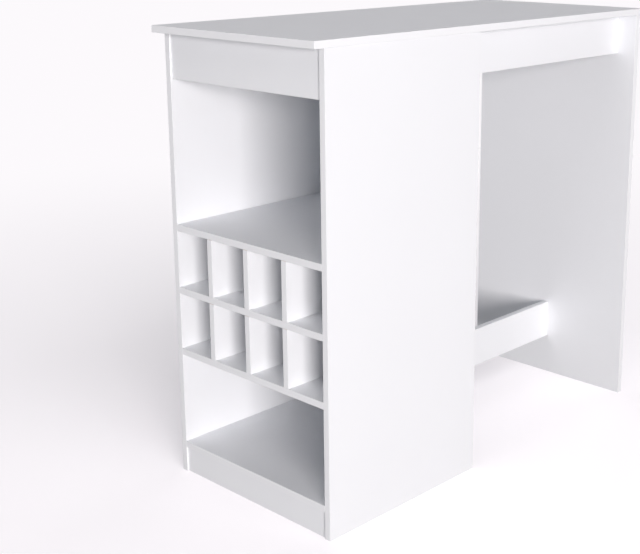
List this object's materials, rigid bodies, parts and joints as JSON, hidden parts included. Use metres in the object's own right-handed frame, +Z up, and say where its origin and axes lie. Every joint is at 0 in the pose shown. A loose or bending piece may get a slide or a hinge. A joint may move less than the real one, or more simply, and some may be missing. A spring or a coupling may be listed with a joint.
{
  "type": "bar table",
  "caption": "White bar table: a thin rectangular top on an open shelf tower with a bottle rack at one end and a full-depth panel leg at the other, tied by aprons and a low stretcher.",
  "frame": {"origin": "on the floor, under the middle of the top", "axes": "+X along the length from the tower to the leg, +Y from the front to the rear, +Z up"},
  "size_m": [1.14, 0.5, 1.03],
  "materials": {
    "melamine": "white melamine-faced chipboard with white edge banding, satin",
    "cam_zinc": "plain die-cast zinc",
    "bolt_steel": "zinc-plated steel",
    "dowel_beech": "raw beech"
  },
  "bodies": {
    "root": {"table_top": "melamine", "tower_front_panel": "melamine", "tower_rear_panel": "melamine", "tower_end_panel": "melamine", "header_rail": "melamine", "plinth": "melamine", "bottom_shelf": "melamine", "lower_shelf": "melamine", "middle_shelf": "melamine", "upper_shelf": "melamine", "lower_divider_1": "melamine", "lower_divider_2": "melamine", "lower_divider_3": "melamine", "upper_divider_1": "melamine", "upper_divider_2": "melamine", "upper_divider_3": "melamine", "leg_panel": "melamine", "front_apron": "melamine", "rear_apron": "melamine", "stretcher": "melamine", "tower_end_panel_front_cam_lock": "cam_zinc", "tower_end_panel_front_cam_bolt": "bolt_steel", "tower_end_panel_rear_cam_lock": "cam_zinc", "tower_end_panel_rear_cam_bolt": "bolt_steel", "bottom_shelf_front_cam_lock": "cam_zinc", "bottom_shelf_front_cam_bolt": "bolt_steel", "bottom_shelf_rear_cam_lock": "cam_zinc", "bottom_shelf_rear_cam_bolt": "bolt_steel", "lower_shelf_front_cam_lock": "cam_zinc", "lower_shelf_front_cam_bolt": "bolt_steel", "lower_shelf_rear_cam_lock": "cam_zinc", "lower_shelf_rear_cam_bolt": "bolt_steel", "upper_shelf_front_cam_lock": "cam_zinc", "upper_shelf_front_cam_bolt": "bolt_steel", "upper_shelf_rear_cam_lock": "cam_zinc", "upper_shelf_rear_cam_bolt": "bolt_steel", "front_apron_tower_cam_lock": "cam_zinc", "front_apron_tower_cam_bolt": "bolt_steel", "front_apron_leg_cam_lock": "cam_zinc", "front_apron_leg_cam_bolt": "bolt_steel", "rear_apron_tower_cam_lock": "cam_zinc", "rear_apron_tower_cam_bolt": "bolt_steel", "rear_apron_leg_cam_lock": "cam_zinc", "rear_apron_leg_cam_bolt": "bolt_steel", "stretcher_tower_cam_lock": "cam_zinc", "stretcher_tower_cam_bolt": "bolt_steel", "stretcher_leg_cam_lock": "cam_zinc", "stretcher_leg_cam_bolt": "bolt_steel", "table_top_front_cam_lock": "cam_zinc", "table_top_front_cam_bolt": "bolt_steel", "table_top_rear_cam_lock": "cam_zinc", "table_top_rear_cam_bolt": "bolt_steel", "table_top_leg_cam_lock": "cam_zinc", "table_top_leg_cam_bolt": "bolt_steel", "header_rail_front_dowel": "dowel_beech", "header_rail_rear_dowel": "dowel_beech", "plinth_front_dowel": "dowel_beech", "plinth_rear_dowel": "dowel_beech", "middle_shelf_front_dowel": "dowel_beech", "middle_shelf_rear_dowel": "dowel_beech"}
  },
  "joints": []
}
